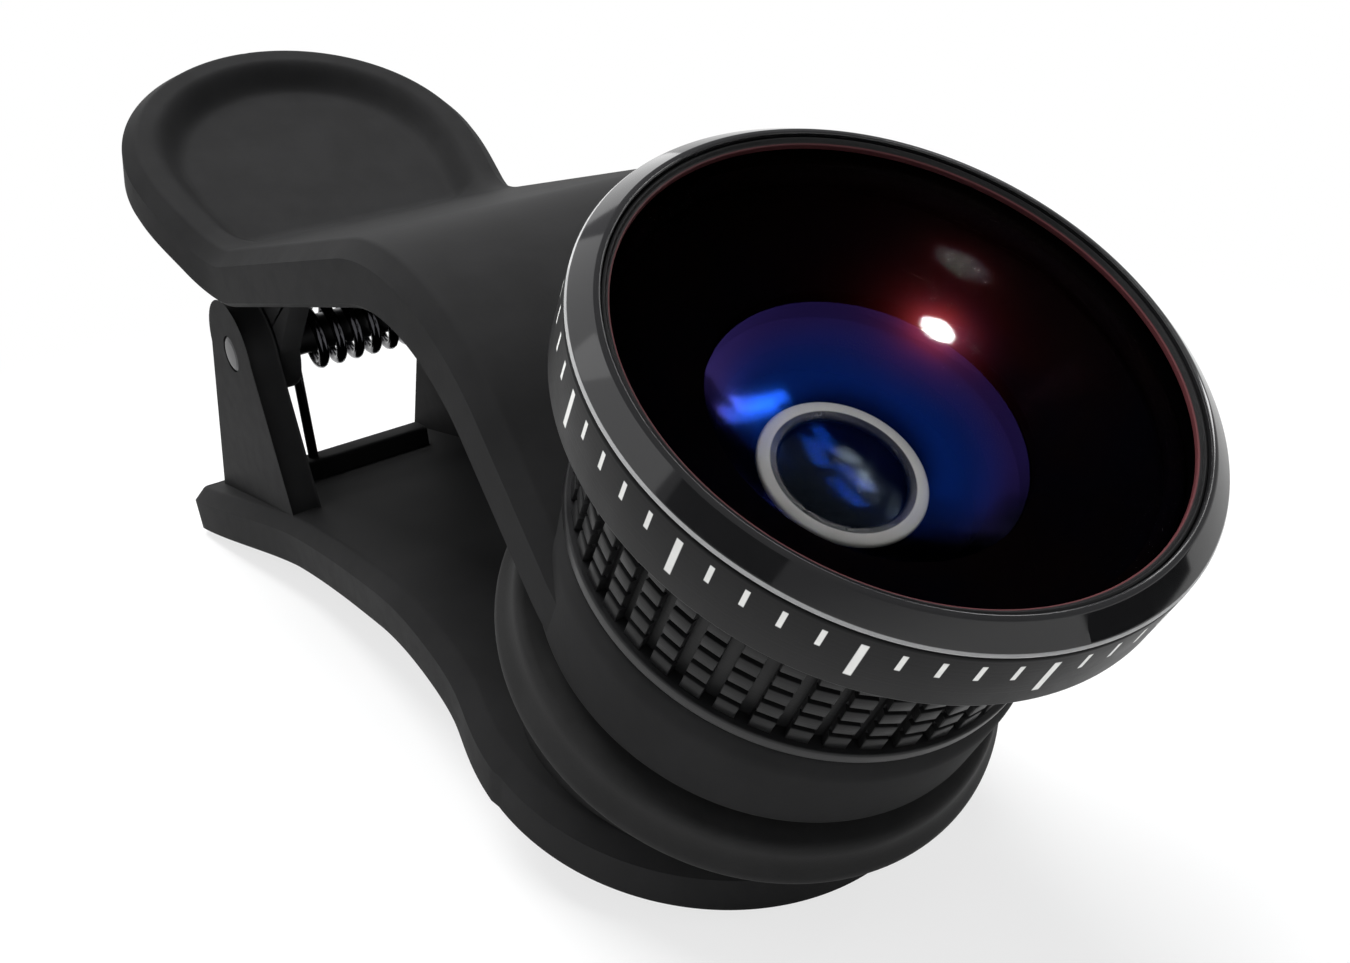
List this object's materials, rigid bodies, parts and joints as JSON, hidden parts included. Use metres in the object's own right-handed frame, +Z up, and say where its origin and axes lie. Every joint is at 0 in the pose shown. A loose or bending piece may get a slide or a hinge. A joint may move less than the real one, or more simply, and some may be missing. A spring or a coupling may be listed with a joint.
{
  "type": "clip-on fisheye lens",
  "caption": "Sprung two-jaw phone clip with round rubber pads and a screw-in wide fisheye lens with a knurled grip ring, plain band and polished bezel.",
  "frame": {"origin": "under the middle of the whole clip, on the surface it stands on", "axes": "+X towards the lens end, +Y across the clip to its left side, +Z up"},
  "size_m": [0.0762, 0.025, 0.0326],
  "materials": {
    "clip_plastic": "satin black moulding",
    "pad_rubber": "soft matte black",
    "pin_steel": "plain pin ends",
    "spring_steel": "dark spring wire",
    "insert_brass": "turned",
    "barrel_black": "black anodised, satin",
    "band_grey": "dark anodised, satin",
    "bezel_black": "black anodised, polished",
    "clear_glass": "coated and polished",
    "coated_glass": "violet blue coating",
    "inner_black": "dead black inside",
    "pale_plastic": "cream"
  },
  "bodies": {
    "base": {"lower_jaw": "clip_plastic", "jaw_pad": "pad_rubber", "hinge_pin": "pin_steel", "torsion_spring": "spring_steel"},
    "upper_jaw": {"upper_jaw": "clip_plastic", "thread_insert": "insert_brass", "upper_pad": "pad_rubber"},
    "lens_mount": {"rear_sleeve": "barrel_black", "rear_element": "clear_glass", "rear_retaining_ring": "barrel_black"},
    "lens": {"lens_barrel": "barrel_black", "grip_ring": "barrel_black", "front_band": "band_grey", "front_bezel": "bezel_black", "front_retaining_ring": "bezel_black", "front_element": "clear_glass", "front_seal": "pad_rubber", "inner_cone": "inner_black", "element_cell": "inner_black", "second_element": "coated_glass", "inner_cell": "inner_black", "pale_ring": "pale_plastic", "third_element": "clear_glass", "spacer_ring": "inner_black", "aperture_stop": "inner_black", "fourth_element": "clear_glass"}
  },
  "joints": [
    {"name": "jaw_hinge", "type": "hinge", "parent": "base", "child": "upper_jaw", "pos_m": [-0.02475, 0, 0.0153], "axis": [0, -1, 0], "range_deg": [0, 30], "stiffness_Nm_per_rad": 0.2, "springref_deg": -42.97, "deforming": ["torsion_spring"]},
    {"name": "lens_lead", "type": "slide", "parent": "upper_jaw", "child": "lens_mount", "axis": [0.5299, 0, 0.848], "range_m": [0, 0.0031]},
    {"name": "lens_turn", "type": "hinge", "parent": "lens_mount", "child": "lens", "pos_m": [0.01855, 0, 0.0114], "axis": [0.5299, 0, 0.848], "range_deg": [0, 1440]}
  ],
  "couplings": [
    {"joint": "lens_lead", "follows": "lens_turn", "m_per_rad": 0.00011937}
  ]
}
